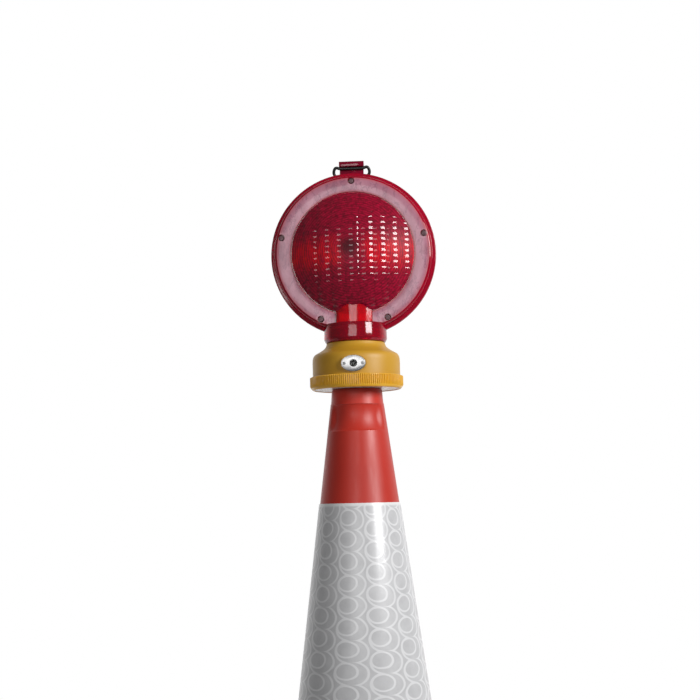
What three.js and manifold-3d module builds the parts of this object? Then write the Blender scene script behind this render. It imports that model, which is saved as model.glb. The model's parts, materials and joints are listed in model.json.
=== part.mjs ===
// A traffic cone with a battery warning lamp standing on its top.
// Millimetres, +Z up, origin on the ground at the middle of the base, lens facing -Y.
import * as THREE from 'three';
import { mergeVertices } from 'three/addons/utils/BufferGeometryUtils.js';
import Module from 'manifold-3d';

const wasm = await Module();
wasm.setup();

// ---- driving dimensions ----------------------------------------------------

const GAP = 0.3; // left between two pieces that touch
const ROUND = 36; // sides of a large round piece
const HEAD_ROUND = 40; // sides of the head
const SMALL_ROUND = 16; // sides of a small round piece

const CONE_HEIGHT = 900;
const CONE_TOP_R = 28.2;
const CONE_TAPER = 0.13; // radius gained for each millimetre down
const CONE_WALL = 4;
const CONE_MOUTH_R = 22.5; // the opening in the cone's top
const GRIP = { low: 852, high: 882, count: 2, depth: 2.2, turns: [-37, -22, -7, 7, 22, 37] };

const BASE = { width: 420, corner: 50, foot: 4, top: 38, bevel: 5, collar: 9 };
const BASE_FLANGE = { r: 156, low: 5, high: 10 };

const SLEEVE = { top: 771, height: 300, thickness: 0.8 };

const CASE = { r: 50, wall: 3, bottom: 5.1, neckR: 33.2, neckTop: 51.4, throatR: 10 };
const SPIGOT = { r: 29.8, grooveR: 27.2, innerR: 24.2, grooveTop: 57.1, top: 66 };
const PLATE = { r: 50, thickness: 3, step: 1.4, stepR: 48 };
const RING = { r: 53.4, innerR: 50.6, lipR: 48.4, low: -1.4, high: 13.1, ribs: 30, rib: 0.7 };
const BAYONET = { count: 3, low: 7.5, high: 10.5, out: 1.2, width: 12, turn: 40 };
const PLUG = { r: 16, finR: 22, fins: 6, length: 62, fin: 2.4 };

const CELL = { r: 16.6, body: 60, nubR: 4.7, nub: 1.5, axisY: 16.9, axisZ: 22.4 };
const TRAY = { floor: 3.3, floorTop: 5.2, end: 35, wall: 1.2, endHalf: 25, endHigh: 30 };
const BOARD = { r: 29, low: 42.4, thickness: 1.6, screwR: 24.5 };
const SWITCH = { length: 14, width: 6, height: 5, travel: 2.5 };

const BEZEL = { halfX: 13.7, halfZ: 9.1, z: 24.2, thickness: 1.5, screwX: 10.3 };
const BOSS_FACE = 50.7; // distance of the bezel's flat seat from the lamp's axis

// The round collar that the two lens shells close round the case's spigot.
const COLLAR = { r: 36.1, low: 51.7, high: 73.2, sealR: 33.4, lipR: 27.7, boreR: 30.6, floor: 69.5 };
const NECK = { halfX: 20.6, front: 21, arcR: 44, wall: 2.5, top: 104, holeR: 14 };

const HEAD_Z = 154.3; // lens centre above the lamp's seat
const SHELL = { wall: 2.5, lensR: 70.1, flangeR: 88.2, sideR: 90.5, rimR: 95.2, face: 12, rim: 3 };
const DOME = { step: 3, r: 120, steps: 4 };
const PARTING = 0.6; // half the slot between the two shells, which the gasket fills
const SCREW = { ring: 84.4, angles: [0, 76, 153, -153, -76], headR: 3.1, r: 1.7 };

const BAIL = { r: 1.75, pivotY: 7.5, pivotZ: 92, barY: 3.5, barZ: 102, halfWidth: 20.9 };
const BRACKET = { halfX: 13.9, capHalfX: 14.4, capLow: 104.2, capHigh: 110, block: 96.5 };

// ---- materials -------------------------------------------------------------

const material = (color, roughness, metalness = 0, opacity = 1) =>
  new THREE.MeshStandardMaterial({ color, roughness, metalness, opacity, transparent: opacity < 1 });

const FINISH = {
  conePlastic: material(0xb8301c, 0.45),
  rubber: material(0x1c1c1d, 0.85),
  sleeve: material(0xd6d8da, 0.3),
  yellow: material(0xd19a25, 0.5),
  pale: material(0xc9c9c6, 0.55),
  redLens: material(0xa40d1e, 0.12, 0, 0.75),
  reflector: material(0xc08a9c, 0.2),
  chrome: material(0xe6e6e6, 0.15, 1),
  steel: material(0x77787a, 0.35, 1),
  darkScrew: material(0x4a4044, 0.4, 0.6),
  blackWire: material(0x151515, 0.5),
  blackPlastic: material(0x202123, 0.6),
  board: material(0x1f5a35, 0.5),
  cell: material(0x2f3338, 0.35, 0.3),
  brass: material(0xb89a4c, 0.3, 1),
  sensor: material(0x3f4442, 0.4),
  clear: material(0xe8eef0, 0.05, 0, 0.4),
  led: material(0xf2f2e6, 0.1, 0, 0.7),
};

// ---- solid helpers ---------------------------------------------------------

// A closed geometry as a solid that can be joined and cut.
function solidOf(geometry) {
  const bare = new THREE.BufferGeometry();
  bare.setAttribute('position', geometry.getAttribute('position'));
  if (geometry.index) bare.setIndex(geometry.index);
  const merged = mergeVertices(bare, 1e-4);
  return new wasm.Manifold(new wasm.Mesh({
    numProp: 3,
    vertProperties: new Float32Array(merged.attributes.position.array),
    triVerts: new Uint32Array(merged.index.array),
  }));
}

function geometryOf(solid) {
  const mesh = solid.getMesh();
  const geometry = new THREE.BufferGeometry();
  geometry.setAttribute('position', new THREE.BufferAttribute(mesh.vertProperties, 3));
  geometry.setIndex(new THREE.BufferAttribute(mesh.triVerts, 1));
  geometry.computeVertexNormals();
  return geometry;
}

// A round solid about +Z from [radius, z] points that start and end on the axis.
function turned(profile, sides = ROUND) {
  const points = profile.map(([r, z]) => new THREE.Vector2(r, z));
  return solidOf(new THREE.LatheGeometry(points, sides).rotateX(Math.PI / 2));
}

// A ring about +Z, whose profile closes on itself.
const ring = (profile, sides) => turned([...profile, profile[0]], sides);

const cylinder = (r, low, high, sides = SMALL_ROUND) =>
  turned([[0, low], [r, low], [r, high], [0, high]], sides);

const tube = (innerR, r, low, high, sides = SMALL_ROUND) =>
  ring([[innerR, low], [r, low], [r, high], [innerR, high]], sides);

// A box by its lowest and highest corners.
function box([x0, y0, z0], [x1, y1, z1]) {
  const geometry = new THREE.BoxGeometry(x1 - x0, y1 - y0, z1 - z0);
  return solidOf(geometry.translate((x0 + x1) / 2, (y0 + y1) / 2, (z0 + z1) / 2));
}

// A shape in the XY plane given a height from low to high.
function raised(shape, low, high, curveSegments = 8) {
  const options = { depth: high - low, bevelEnabled: false, curveSegments };
  return solidOf(new THREE.ExtrudeGeometry(shape, options).translate(0, 0, low));
}

// A tube of round section along a curve.
function swept(curve, r, steps, sides) {
  const section = new THREE.Shape();
  section.setFromPoints(Array.from({ length: sides }, (_, i) => {
    const a = (i / sides) * 2 * Math.PI;
    return new THREE.Vector2(r * Math.cos(a), r * Math.sin(a));
  }));
  const options = { steps, bevelEnabled: false, extrudePath: curve };
  return solidOf(new THREE.ExtrudeGeometry(section, options));
}

// Turns a solid that was made about +Z so that its +Z points along -Y.
const facingFront = (solid) => solid.rotate([90, 0, 0]);

const union = (solids) => solids.reduce((all, next) => all.add(next));
const bothSides = (make) => union([make(-1), make(1)]);

// Copies of a solid spread evenly about +Z, the first one turned by start degrees.
const aboutAxis = (solid, count, start = 0) =>
  union(Array.from({ length: count }, (_, i) => solid.rotate([0, 0, start + (360 * i) / count])));

function piece(name, solid, finish, at = [0, 0, 0]) {
  const mesh = new THREE.Mesh(geometryOf(solid), finish);
  mesh.name = name;
  mesh.position.set(...at);
  return mesh;
}

// A cross-head screw pointing down -Z, the seat of its head at z = 0.
function screw(headR, headHeight, r, length) {
  const body = turned([
    [0, -length], [r, r - length], [r, 0], [headR, 0], [headR, headHeight], [0, headHeight],
  ], 8);
  const reach = headR * 0.6;
  const slot = box([-reach, -headR * 0.12, headHeight * 0.45], [reach, headR * 0.12, headHeight + 1]);
  return body.subtract(aboutAxis(slot, 2, 45)).subtract(slot.rotate([0, 0, -45]));
}

// ---- the cone --------------------------------------------------------------

const coneR = (z) => CONE_TOP_R + CONE_TAPER * (CONE_HEIGHT - z);

// The hand-grip hollows in the front and back of the cone's neck. Each is a row of overlapping
// oval dimples, turned about the axis, that run together.
function gripHollows() {
  const middle = (GRIP.low + GRIP.high) / 2;
  const r = coneR(middle);
  const dimple = solidOf(new THREE.SphereGeometry(1, 14, 8))
    .scale([GRIP.depth * 3, r * 0.5, (GRIP.high - GRIP.low) / 2])
    .translate([r + GRIP.depth * 2, 0, middle]);
  const row = union(GRIP.turns.map((turn) => dimple.rotate([0, 0, turn])));
  return aboutAxis(row, GRIP.count, -90);
}

function coneBody() {
  const { r: flangeR, low, high } = BASE_FLANGE;
  const plugEnd = CONE_HEIGHT - PLUG.length;
  const innerFoot = [coneR(low) - CONE_WALL, low];
  const shell = turned([
    innerFoot,
    [flangeR, low],
    [flangeR, high],
    [coneR(high), high],
    [CONE_TOP_R, CONE_HEIGHT],
    [CONE_MOUTH_R, CONE_HEIGHT],
    [CONE_MOUTH_R + 0.5, CONE_HEIGHT - 20],
    [coneR(plugEnd) - CONE_WALL, plugEnd],
    innerFoot,
  ]);
  return shell.subtract(gripHollows());
}

// The base's outline, a square with its corners cut off.
function baseOutline(inset) {
  const half = BASE.width / 2 - inset;
  const flat = BASE.width / 2 - BASE.corner;
  const corners = [[flat, -half], [half, -flat], [half, flat], [flat, half]];
  const mirrored = corners.map(([x, y]) => [-x, -y]);
  return new THREE.Shape([...corners, ...mirrored].map(([x, y]) => new THREE.Vector2(x, y)));
}

function coneBase() {
  const { foot, top, bevel, collar, width } = BASE;
  const clear = 0.4; // between the base and the cone that passes up through it
  const collarTop = top + collar;
  const slab = raised(baseOutline(0), foot, top - bevel);
  const crown = raised(baseOutline(bevel), top - bevel - 1, top);
  const raisedCollar = turned([
    [0, top - 6], [coneR(top) + 14, top - 6], [coneR(collarTop) + 8, collarTop], [0, collarTop],
  ]);
  const footHalf = 26;
  const footAt = width / 2 - 20;
  const side = union([-1, 0, 1].map((along) =>
    box([-footHalf, -14, 0], [footHalf, 14, foot + 1]).translate([along * (footAt - 50), footAt, 0])));
  const through = turned([
    [0, -1],
    [BASE_FLANGE.r + 1, -1],
    [BASE_FLANGE.r + 1, BASE_FLANGE.high + GAP],
    [coneR(BASE_FLANGE.high) + clear, BASE_FLANGE.high + GAP],
    [coneR(collarTop + 5) + clear, collarTop + 5],
    [0, collarTop + 5],
  ]);
  return union([slab, crown, raisedCollar, aboutAxis(side, 4)]).subtract(through);
}

function reflectiveSleeve() {
  const { top, height, thickness } = SLEEVE;
  const low = top - height;
  const inner = (z) => coneR(z) + GAP;
  return ring([
    [inner(low), low],
    [inner(low) + thickness, low],
    [inner(top) + thickness, top],
    [inner(top), top],
  ]);
}

function cone() {
  const group = new THREE.Group();
  group.add(
    piece('cone_body', coneBody(), FINISH.conePlastic),
    piece('cone_base', coneBase(), FINISH.rubber),
    piece('reflective_sleeve', reflectiveSleeve(), FINISH.sleeve),
  );
  return group;
}

// ---- the lamp's battery case -----------------------------------------------

// [radius, z] up the outside of the case, over its shoulder to the foot of the spigot.
const CASE_OUTSIDE = [
  [CASE.r, CASE.bottom],
  [CASE.r, 32],
  [49, 35.6],
  [46.4, 38.6],
  [41.2, 41.6],
  [36.9, 44.5],
  [34.3, 47.3],
  [CASE.neckR, CASE.neckTop],
];

// A profile moved inwards, square to itself at each point.
function insetProfile(points, distance) {
  return points.map(([r, z], i) => {
    const [r0, z0] = points[Math.max(i - 1, 0)];
    const [r1, z1] = points[Math.min(i + 1, points.length - 1)];
    const length = Math.hypot(r1 - r0, z1 - z0);
    return [r - (distance * (z1 - z0)) / length, z + (distance * (r1 - r0)) / length];
  });
}

// An oval slab on the front of the case, from one distance off the lamp's axis to another.
function frontOval(halfX, halfZ, near, far) {
  const outline = new THREE.Shape();
  outline.absellipse(0, 0, halfX, halfZ, 0, 2 * Math.PI);
  return facingFront(raised(outline, near, far, 6)).translate([0, 0, BEZEL.z]);
}

// A round pin or hole on the front of the case.
const frontPin = (r, near, far, x = 0, sides = SMALL_ROUND) =>
  facingFront(cylinder(r, near, far, sides)).translate([x, 0, BEZEL.z]);

function batteryCase() {
  const { r, wall, bottom, neckTop, throatR } = CASE;
  const ceiling = neckTop - wall;
  const outside = turned([
    [0, bottom],
    ...CASE_OUTSIDE,
    [SPIGOT.grooveR, neckTop],
    [SPIGOT.grooveR, SPIGOT.grooveTop],
    [SPIGOT.r, SPIGOT.grooveTop],
    [SPIGOT.r, SPIGOT.top],
    [0, SPIGOT.top],
  ]);
  const seat = frontOval(BEZEL.halfX + 1.2, BEZEL.halfZ + 1.2, 44, BOSS_FACE);
  const lugHalf = BAYONET.width / 2;
  const lug = box([r - 2, -lugHalf, BAYONET.low], [r + BAYONET.out, lugHalf, BAYONET.high]);
  const hollow = turned([
    [0, bottom - 1],
    [r - wall, bottom - 1],
    ...insetProfile(CASE_OUTSIDE, wall).slice(1, -1),
    [CASE.neckR - wall, ceiling],
    [0, ceiling],
  ]);
  const postFoot = BOARD.low + BOARD.thickness + GAP;
  const post = cylinder(2.9, postFoot, ceiling + 1, 10).translate([BOARD.screwR, 0, 0]);
  const pilot = cylinder(1.5, BOARD.low, neckTop - 0.6, 8).translate([BOARD.screwR, 0, 0]);
  const cuts = [
    cylinder(SPIGOT.innerR, neckTop, SPIGOT.top + 1, ROUND),
    cylinder(throatR, ceiling - 1, neckTop + 1),
    aboutAxis(pilot, 3),
    frontPin(4.6, 40, BOSS_FACE + 1),
    bothSides((side) => frontPin(1.3, 45, BOSS_FACE + 1, side * BEZEL.screwX, 8)),
  ];
  return union([outside, seat, aboutAxis(lug, BAYONET.count)])
    .subtract(hollow)
    .add(aboutAxis(post, 3))
    .subtract(union(cuts));
}

function bottomPlate() {
  const { r, thickness, step, stepR } = PLATE;
  const holes = bothSides((side) => cylinder(2.3, -step - 1, thickness + 1, 10).translate([side * 9, 0, 0]));
  const outline = [[0, -step], [stepR, -step], [stepR, 0], [r, 0], [r, thickness], [0, thickness]];
  return turned(outline).subtract(holes);
}

// The stem and fins that hold the lamp upright in the mouth of the cone.
function conePlug() {
  const { r, finR, fins, length, fin } = PLUG;
  const stem = turned([[0, -length], [r - 3, -length], [r, 12 - length], [r, -GAP], [0, -GAP]], 18);
  const outline = new THREE.Shape([
    new THREE.Vector2(r - 2, 12 - length),
    new THREE.Vector2(r, 12 - length),
    new THREE.Vector2(finR, 22 - length),
    new THREE.Vector2(finR, -GAP),
    new THREE.Vector2(r - 2, -GAP),
  ]);
  const blade = facingFront(raised(outline, -fin / 2, fin / 2));
  const bore = cylinder(r - 3.5, -length - 1, -8);
  const holes = bothSides((side) => cylinder(2.1, -9, 1, 8).translate([side * 9, 0, 0]));
  return stem.add(aboutAxis(blade, fins, 30)).subtract(union([bore, holes]));
}

// A dry cell standing on z = 0 with its terminal up.
function dryCell() {
  const { r, body, nubR, nub } = CELL;
  return turned([
    [0, 0], [r - 1.6, 0], [r, 1.2], [r, body - 1.2], [r - 1.6, body],
    [nubR, body], [nubR, body + nub], [0, body + nub],
  ], 20);
}

function batteryTray() {
  const { floor, floorTop, end, wall, endHalf, endHigh } = TRAY;
  const base = box([-end, -endHalf, floor], [end, endHalf, floorTop]);
  const divider = box([-end, -0.9, floor], [end, 0.9, 9]);
  const endWall = box([end, -endHalf, floor], [end + wall, endHalf, endHigh]);
  const screwRoom = bothSides((side) => cylinder(4.2, floor - 1, 12, 12).translate([side * 9, 0, 0]));
  const cradle = bothSides((side) =>
    cylinder(CELL.r + 0.5, -end, end, 20).rotate([0, 90, 0]).translate([0, side * CELL.axisY, CELL.axisZ]));
  return union([base, divider, aboutAxis(endWall, 2)]).subtract(union([cradle, screwRoom]));
}

// A flat contact with a raised middle, its back at x = 0 and its face towards -X.
function contactPlate() {
  const pad = cylinder(3.4, 0.4, 0.9, 10).rotate([0, -90, 0]);
  return box([-0.5, -7, -8], [0, 7, 8]).add(pad);
}

// A conical compression spring on a flat foot, its back at x = 0 and its tip towards +X.
function contactSpring() {
  const [turns, wireR, low, high] = [2.5, 0.6, 1.3, 5.6];
  class Coil extends THREE.Curve {
    getPoint(t, target = new THREE.Vector3()) {
      const a = t * turns * 2 * Math.PI;
      const r = THREE.MathUtils.lerp(7, 3.6, t);
      return target.set(THREE.MathUtils.lerp(low, high, t), r * Math.cos(a), r * Math.sin(a));
    }
  }
  return swept(new Coil(), wireR, 24, 5).add(box([0, -7.8, -8], [1, 7.8, 8]));
}

function controlBoard() {
  const { r, low, thickness, screwR } = BOARD;
  const hole = cylinder(1.6, low - 1, low + thickness + 1, 8).translate([screwR, 0, 0]);
  return cylinder(r, low, low + thickness, 24).subtract(aboutAxis(hole, 3));
}

const SWITCH_LOW = BOARD.low - GAP - SWITCH.height;

function modeSwitch() {
  const { length, width, height, travel } = SWITCH;
  const reach = travel + 2;
  const slot = box([-reach, -1.5, SWITCH_LOW - 1], [reach, 1.5, SWITCH_LOW + height / 2]);
  const body = box([-length / 2, -width / 2, SWITCH_LOW], [length / 2, width / 2, SWITCH_LOW + height]);
  return body.subtract(slot);
}

const modeSlider = () =>
  box([-1.6, -1.2, SWITCH_LOW - 2.6], [1.6, 1.2, SWITCH_LOW + 2]);

function photocellBezel() {
  const near = BOSS_FACE + 0.1;
  const rim = frontOval(BEZEL.halfX, BEZEL.halfZ, near, near + 0.9);
  const face = frontOval(BEZEL.halfX - 0.9, BEZEL.halfZ - 0.9, near + 0.5, near + BEZEL.thickness);
  const holes = bothSides((side) => frontPin(1.3, near - 1, near + 3, side * BEZEL.screwX, 8));
  return rim.add(face).subtract(frontPin(4.3, near - 1, near + 3)).subtract(holes);
}

// One cell with the spring behind it and the plate before it; side is +1 or -1.
function cellRow(side, number) {
  const { axisY, axisZ, body, nub } = CELL;
  const plateAt = TRAY.end - GAP;
  const cellFoot = plateAt - 1.2 - body - nub;
  const turn = side > 0 ? 0 : 180;
  const place = (x) => [side * x, side * axisY, axisZ];
  return [
    piece(`battery_${number}`, dryCell().rotate([0, 90, turn]), FINISH.cell, place(cellFoot)),
    piece(`contact_spring_${number}`, contactSpring().rotate([0, 0, turn]), FINISH.steel, place(-plateAt)),
    piece(`contact_plate_${number}`, contactPlate().rotate([0, 0, turn]), FINISH.brass, place(plateAt)),
  ];
}

function lampBase() {
  const group = new THREE.Group();
  const boardTop = BOARD.low + BOARD.thickness + GAP;
  const gasket = tube(CASE.r - CASE.wall + 0.4, CASE.r - 0.3, PLATE.thickness + GAP, CASE.bottom - GAP, 24);
  const seal = tube(COLLAR.lipR, COLLAR.sealR - 0.4, CASE.neckTop + GAP, COLLAR.low + 1.7, 24);
  const plugScrew = screw(3.6, 2, 1.8, 9);
  const bezelScrew = facingFront(screw(2, 0.9, 0.95, 6));
  const boardScrew = screw(2.6, 1.6, 1.2, 8).rotate([180, 0, 0]);
  group.add(
    piece('battery_case', batteryCase(), FINISH.yellow),
    piece('bottom_plate', bottomPlate(), FINISH.pale),
    piece('case_gasket', gasket, FINISH.rubber),
    piece('neck_seal', seal, FINISH.rubber),
    piece('cone_plug', conePlug(), FINISH.blackPlastic, [0, 0, -PLATE.step]),
    piece('battery_tray', batteryTray(), FINISH.blackPlastic),
    piece('control_board', controlBoard(), FINISH.board),
    piece('flasher_chip', box([-18, 6, boardTop], [-10, 12, boardTop + 2.4]), FINISH.blackPlastic),
    piece('capacitor', cylinder(3.2, boardTop, boardTop + 3.4, 12), FINISH.blackPlastic, [8, -20, 0]),
    piece('mode_switch', modeSwitch(), FINISH.steel),
    piece('photocell_bezel', photocellBezel(), FINISH.chrome),
    piece('photocell_window', frontPin(3.9, BOSS_FACE + 0.4, BOSS_FACE + 1.9), FINISH.clear),
    piece('photocell', frontPin(4.1, 45.5, BOSS_FACE - 0.1), FINISH.sensor),
  );
  [-1, 1].forEach((side, i) => {
    const bezelAt = [side * BEZEL.screwX, -BOSS_FACE - BEZEL.thickness - 0.2, BEZEL.z];
    group.add(
      ...cellRow(side, i + 1),
      piece(`plug_screw_${i + 1}`, plugScrew, FINISH.steel, [side * 9, 0, PLATE.thickness + 0.1]),
      piece(`bezel_screw_${i + 1}`, bezelScrew, FINISH.steel, bezelAt),
    );
  });
  [0, 120, 240].forEach((angle, i) => {
    const a = THREE.MathUtils.degToRad(angle);
    const at = [BOARD.screwR * Math.cos(a), BOARD.screwR * Math.sin(a), BOARD.low - 0.1];
    group.add(piece(`board_screw_${i + 1}`, boardScrew, FINISH.steel, at));
  });
  return group;
}

// The ribbed ring that turns to lock or free the bottom plate.
function lockingRing() {
  const { r, innerR, lipR, low, high, ribs, rib } = RING;
  const coreR = r - rib;
  const core = ring([
    [lipR, low],
    [r - 2.6, low],
    [r - 0.8, low + 1],
    [r, low + 2.8],
    [r, low + 4],
    [coreR, low + 4.4],
    [coreR, high - 0.8],
    [coreR - 0.8, high],
    [innerR, high],
    [innerR, low + 1],
    [lipR, low + 1],
  ]);
  const pitch = (2 * Math.PI) / ribs;
  const edge = [];
  for (let i = 0; i < ribs; i++) {
    for (const [radius, along] of [[coreR - 0.4, -0.5], [r, -0.2], [r, 0.2]]) {
      const a = (i + along) * pitch;
      edge.push(new THREE.Vector2(radius * Math.cos(a), radius * Math.sin(a)));
    }
  }
  const outline = new THREE.Shape(edge);
  const innerEdge = new THREE.Path();
  innerEdge.absarc(0, 0, coreR - 1.2, 0, 2 * Math.PI, true);
  outline.holes.push(innerEdge);
  const knurl = raised(outline, low + 3.8, high - 1, ROUND / 2);
  const grooveR = coreR - 0.9;
  const groove = tube(innerR - 1, grooveR, BAYONET.low - 0.5, BAYONET.high + 0.5, ROUND);
  const halfEntry = BAYONET.width / 2 + 0.6;
  const entry = box([innerR - 2, -halfEntry, BAYONET.high - 1], [grooveR, halfEntry, high + 1]);
  return core.add(knurl).subtract(groove).subtract(aboutAxis(entry, BAYONET.count, -BAYONET.turn));
}

// ---- the lamp's head, in a frame whose origin is the lens centre ------------

// [radius, distance forward of the head's middle plane] up the lens dome, from its edge to its tip.
function domePoints(inset) {
  const edge = SHELL.lensR - inset;
  const radius = DOME.r - inset;
  const rise = SHELL.face + DOME.step - Math.sqrt(radius ** 2 - edge ** 2);
  return Array.from({ length: DOME.steps + 1 }, (_, i) => {
    const out = i / DOME.steps;
    const r = edge * (1 - out);
    return [r, rise + Math.sqrt(radius ** 2 - r ** 2) - inset * out];
  });
}

// The neck's outline seen from above: a shallow arc in front and behind, and flat sides.
function neckOutline(grow) {
  const halfX = NECK.halfX + grow;
  const arcR = NECK.arcR + grow;
  const centre = NECK.arcR - NECK.front;
  const half = Math.asin(halfX / arcR);
  const outline = new THREE.Shape();
  outline.absarc(0, centre, arcR, -Math.PI / 2 - half, -Math.PI / 2 + half);
  outline.absarc(0, -centre, arcR, Math.PI / 2 - half, Math.PI / 2 + half);
  outline.closePath();
  return outline;
}

function neckAndCollar() {
  const { r, low, high, sealR, lipR, boreR, floor } = COLLAR;
  const ringOutside = turned([
    [0, low], [r - 1.9, low], [r, low + 3.8], [r - 0.4, high - 2.4],
    [r - 1.2, high - 0.7], [r - 2.4, high], [0, high],
  ]);
  const hollow = turned([
    [0, low - 1],
    [sealR, low - 1],
    [sealR, low + 2],
    [lipR, low + 2],
    [lipR, low + 5],
    [boreR, low + 5],
    [boreR, floor],
    [NECK.holeR, floor],
    [NECK.holeR, high + 1],
    [0, high + 1],
  ]);
  const lift = (solid) => solid.translate([0, 0, -HEAD_Z]);
  return {
    neck: lift(raised(neckOutline(0), high - 1, NECK.top, 6)),
    collar: lift(ringOutside),
    hollow: lift(hollow.add(raised(neckOutline(-NECK.wall), high, NECK.top + 1, 6))),
  };
}

// Puts a solid made about +Z onto the circle of screws, its +Z facing the front.
const onScrewCircle = (solid) =>
  union(SCREW.angles.map((angle) => facingFront(solid).translate([0, 0, SCREW.ring]).rotate([0, angle, 0])));

// The front half of the head, before its screw holes are cut; the rear half is the same.
function lensShell() {
  const { wall, lensR, flangeR, sideR, rimR, face, rim } = SHELL;
  const { neck, collar, hollow } = neckAndCollar();
  const outside = turned([
    [0, 0], [rimR, 0], [rimR, rim], [sideR, rim], [sideR, face - 1.5], [flangeR, face], [lensR, face],
    ...domePoints(0),
  ], HEAD_ROUND);
  const inside = turned([
    [0, -1], [sideR - wall, -1], [sideR - wall, face - wall], [lensR - wall, face - wall],
    ...domePoints(wall),
  ], HEAD_ROUND);
  const frontHalf = box([-120, -120, -120], [120, -PARTING, 120]);
  return facingFront(outside)
    .add(neck)
    .subtract(facingFront(inside))
    .add(collar)
    .add(onScrewCircle(cylinder(4.8, 0, face - 1, 8)))
    .subtract(hollow)
    .intersect(frontHalf);
}

function frontLens() {
  const { face } = SHELL;
  const recess = cylinder(3.9, face - 2.4, face + 2, 10);
  return lensShell().subtract(onScrewCircle(cylinder(2.1, -1, face, 8).add(recess)));
}

// The bracket for the bail, which stands on top of the rear half.
function bailBracket() {
  const { halfX, capHalfX, capLow, capHigh, block } = BRACKET;
  const { pivotY, pivotZ } = BAIL;
  const foot = box([-halfX, 3.2, 84], [halfX, pivotY + 3.6, block]);
  const web = box([-halfX, 5.7, 90], [halfX, 9.8, capLow + 1]);
  const cap = box([-capHalfX, 0.6, capLow], [capHalfX, 10.6, capHigh]);
  const rib = box([-0.8, 4.4, block - 1], [0.8, 6, block + 1.6]);
  const inner = facingFront(cylinder(SHELL.sideR - SHELL.wall, -30, 0, HEAD_ROUND));
  const pivots = bothSides((side) => {
    const start = side > 0 ? halfX - 4.5 : -halfX - 1.5;
    return cylinder(2.1, 0, 6, 12).rotate([0, 90, 0]).translate([start, pivotY, pivotZ]);
  });
  return union([foot, web, cap, rib]).subtract(inner).subtract(pivots);
}

function rearLens() {
  const pilots = onScrewCircle(cylinder(2.1, -1, SHELL.face - 3, 8));
  return lensShell().subtract(pilots).rotate([0, 0, 180]).add(bailBracket());
}

// The gasket in the slot between the shells, open where the collar comes through.
function lensGasket() {
  const { rimR, sideR } = SHELL;
  const half = PARTING - GAP;
  const reach = COLLAR.r + 1.5;
  return facingFront(tube(sideR - 1, rimR - 0.5, -half, half, HEAD_ROUND))
    .subtract(box([-reach, -5, -110], [reach, 5, 0]));
}

function reflectorRing(withHoles) {
  const { lensR, flangeR, face } = SHELL;
  const near = face + GAP;
  const band = facingFront(tube(lensR + 1.4, flangeR - 0.6, near, near + 0.7, HEAD_ROUND));
  const clear = raised(neckOutline(0.6), COLLAR.low, NECK.top, 6)
    .add(cylinder(COLLAR.r + 0.6, COLLAR.low, COLLAR.high + 0.6, ROUND))
    .translate([0, 0, -HEAD_Z]);
  const cut = band.subtract(clear);
  return withHoles ? cut.subtract(onScrewCircle(cylinder(4.3, face - 1, face + 3, 10))) : cut;
}

const LED_Z = 13; // above the lens centre
const LED_BOARD = { halfX: 11.5, halfY: 1, low: -5.6, high: 28 };

function ledPost() {
  const floor = COLLAR.high + GAP - HEAD_Z;
  const foot = cylinder(17, floor, floor + 3, 20);
  const stem = box([-4, -2, floor + 2], [4, 2, LED_BOARD.low - GAP]);
  const cableHole = cylinder(3.3, floor - 1, floor + 4, 10).translate([0, 7.8, 0]);
  return foot.add(stem).subtract(cableHole);
}

// A light-emitting diode on its square base, facing the front.
function led() {
  const lens = turned([[0, 2], [4, 2], [4, 4.5], [3.2, 6.6], [1.7, 7.8], [0, 8.2]], 14);
  return facingFront(box([-5, -5, 1.3], [5, 5, 2.8]).add(lens)).translate([0, 0, LED_Z]);
}

// The cable from above the control board, up through the neck to the back of the LED board.
function lampCable() {
  const start = BOARD.low + BOARD.thickness + 2.1;
  const route = [
    [0, start], [0, start + 14], [6.5, 68], [8, 78],
    [6, 100], [5.4, HEAD_Z - 14], [3.3, HEAD_Z + 4],
  ];
  const points = route.map(([y, z]) => new THREE.Vector3(0, y, z - HEAD_Z));
  return swept(new THREE.CatmullRomCurve3(points), 1.7, 20, 8);
}

// The wire loop, whose ends turn in the bracket's sides.
function wireBail() {
  const { r, pivotY, pivotZ, barY, barZ, halfWidth } = BAIL;
  // [distance from the middle, share of the way from the pivot up to the crossbar]
  const side = [
    [9.6, 0], [13, 0], [17, 0.05], [halfWidth - 0.3, 0.35],
    [halfWidth, 0.72], [19.3, 1.08], [16.9, 1.14], [14, 1], [8, 1],
  ];
  const point = (sign) => ([x, up]) => new THREE.Vector3(
    sign * x,
    THREE.MathUtils.lerp(pivotY, barY, up),
    THREE.MathUtils.lerp(pivotZ, barZ, up),
  );
  const points = [...side.map(point(-1)), ...side.map(point(1)).reverse()];
  return swept(new THREE.CatmullRomCurve3(points, false, 'centripetal'), r, 36, 8);
}

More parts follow.
